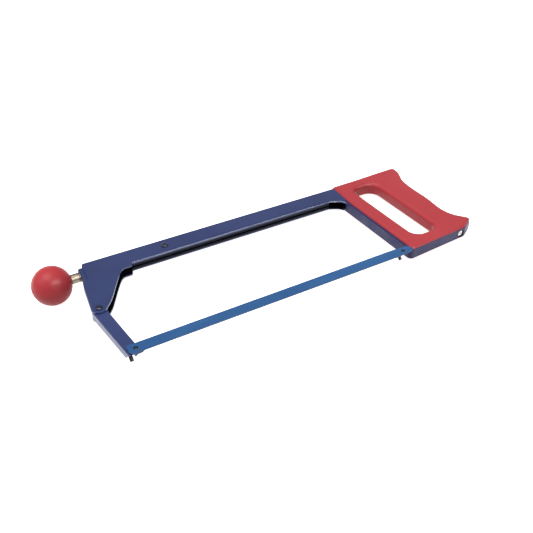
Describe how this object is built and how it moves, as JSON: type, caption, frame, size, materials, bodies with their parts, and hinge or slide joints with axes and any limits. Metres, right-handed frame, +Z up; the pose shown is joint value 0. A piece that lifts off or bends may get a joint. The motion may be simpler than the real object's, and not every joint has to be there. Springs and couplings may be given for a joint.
{
  "type": "hacksaw",
  "caption": "Hacksaw with a folded steel spine, a swinging front arm drawn tight by a ball knob, a flat strap leg and a closed D-shaped plastic handle.",
  "frame": {"origin": "middle of the saw's outline, on the level surface it lies on", "axes": "+X from the knob to the handle, +Y from the blade to the spine, +Z up out of the side that the blade is fitted on"},
  "size_m": [0.4645, 0.1634, 0.04],
  "materials": {
    "frame_paint": "satin",
    "strap_paint": "satin",
    "arm_steel": "satin",
    "rivet_steel": "satin",
    "blade_paint": "satin",
    "plated_steel": "polished",
    "dark_steel": "satin",
    "bare_steel": "satin",
    "brass": "satin",
    "red_handle": "satin",
    "red_knob": "gloss"
  },
  "bodies": {
    "frame": {"frame_spine": "frame_paint", "leg_strap": "strap_paint", "strap_rivets": "bare_steel", "handle": "red_handle", "handle_insert": "brass", "strap_screw": "plated_steel", "anchor_nut": "bare_steel", "spine_rivet": "rivet_steel", "pivot_rivet": "rivet_steel", "pivot_bush": "bare_steel", "rear_blade_lug": "dark_steel", "rear_blade_pin": "dark_steel", "rear_angle_pin": "dark_steel"},
    "arm": {"front_arm": "arm_steel", "front_blade_pin": "dark_steel", "front_pin_collar": "dark_steel", "front_angle_pin": "dark_steel"},
    "screw_carriage": {"thrust_washer": "plated_steel"},
    "knob": {"tension_screw": "plated_steel", "screw_ferrule": "plated_steel", "knob_insert": "brass", "knob_ball": "red_knob"},
    "blade": {"blade": "blade_paint"}
  },
  "joints": [
    {"name": "knob_spin", "type": "hinge", "parent": "screw_carriage", "child": "knob", "pos_m": [-0.21225, 0.0617, 0.02], "axis": [-1, 0, 0], "range_deg": [0, 1782]},
    {"name": "screw_travel", "type": "slide", "parent": "frame", "child": "screw_carriage", "axis": [-1, 0, 0], "range_m": [0, 0.00496]},
    {"name": "arm_swing", "type": "hinge", "parent": "frame", "child": "arm", "pos_m": [-0.18615, -0.0032, 0.02], "axis": [0, 0, 1], "range_deg": [0, 4.01]},
    {"name": "blade_release", "type": "slide", "parent": "frame", "child": "blade", "axis": [0, 0, 1], "range_m": [0, 0.01202]}
  ],
  "couplings": [
    {"joint": "screw_travel", "follows": "knob_spin", "m_per_rad": 0.00015915},
    {"joint": "arm_swing", "follows": "knob_spin", "ratio": 0.0022447},
    {"joint": "blade_release", "follows": "knob_spin", "m_per_rad": 0.00038583}
  ]
}
